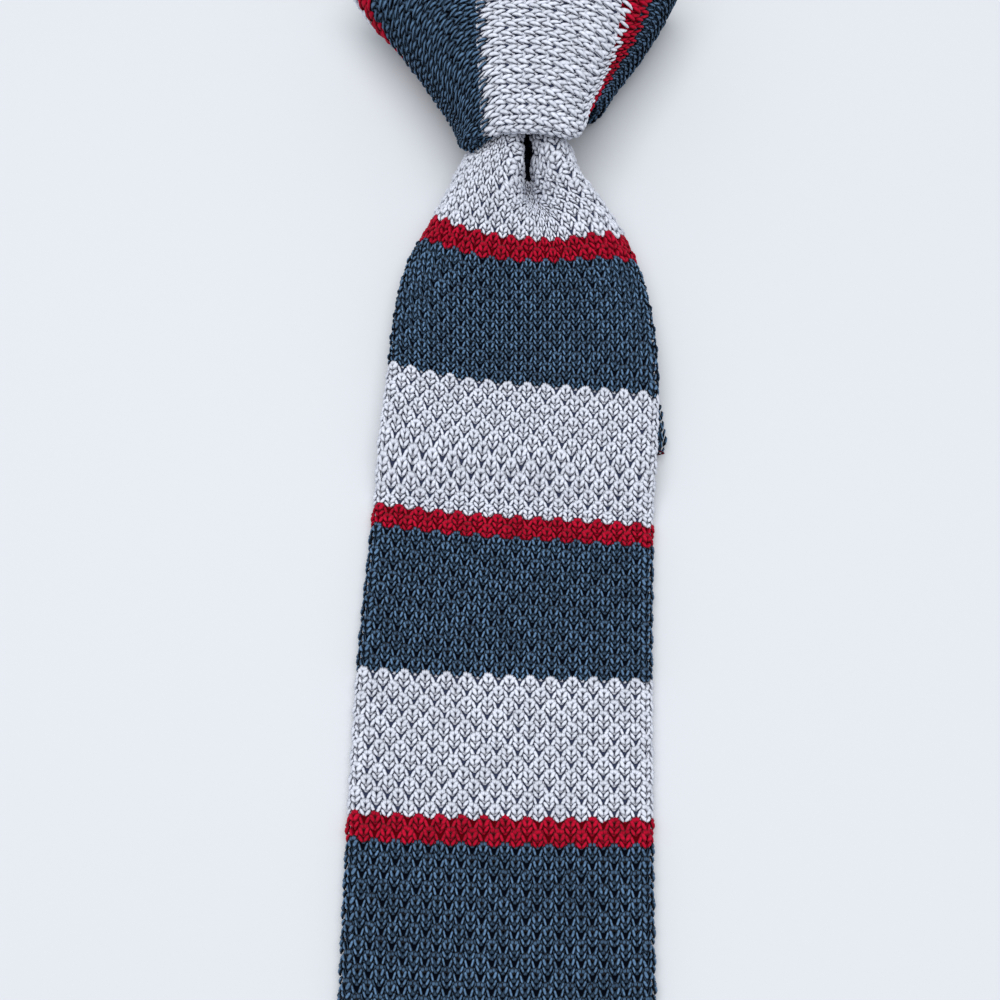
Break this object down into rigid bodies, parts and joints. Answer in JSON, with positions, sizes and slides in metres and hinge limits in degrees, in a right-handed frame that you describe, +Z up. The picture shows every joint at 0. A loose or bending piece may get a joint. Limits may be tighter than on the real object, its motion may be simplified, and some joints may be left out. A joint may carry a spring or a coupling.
{
  "type": "knit necktie",
  "caption": "Knit necktie tied in a four-in-hand knot, lying flat with a closed neck loop; square-ended blade in broad grey and navy bands parted by thin red stripes, dimple under the knot.",
  "frame": {"origin": "on the table, at the flat patch that the back of the knot rests on", "axes": "+Z up from the table, +Y towards the neck loop, -Y towards the blade's end, +X to the right as the picture shows it"},
  "size_m": [0.1456, 0.7754, 0.032],
  "materials": {
    "front_blade": "chunky weft knit, grey and navy bands with thin red stripes, matte",
    "knot_wrap": "chunky weft knit, grey front with a navy flank and a thin red stripe, matte",
    "neck_loop": "chunky weft knit, grey and navy bands with thin red stripes, matte",
    "tail": "chunky weft knit, navy where it shows, matte"
  },
  "bodies": {
    "root": {"front_blade": "front_blade", "knot_wrap": "knot_wrap", "neck_loop": "neck_loop", "tail": "tail"}
  },
  "joints": []
}
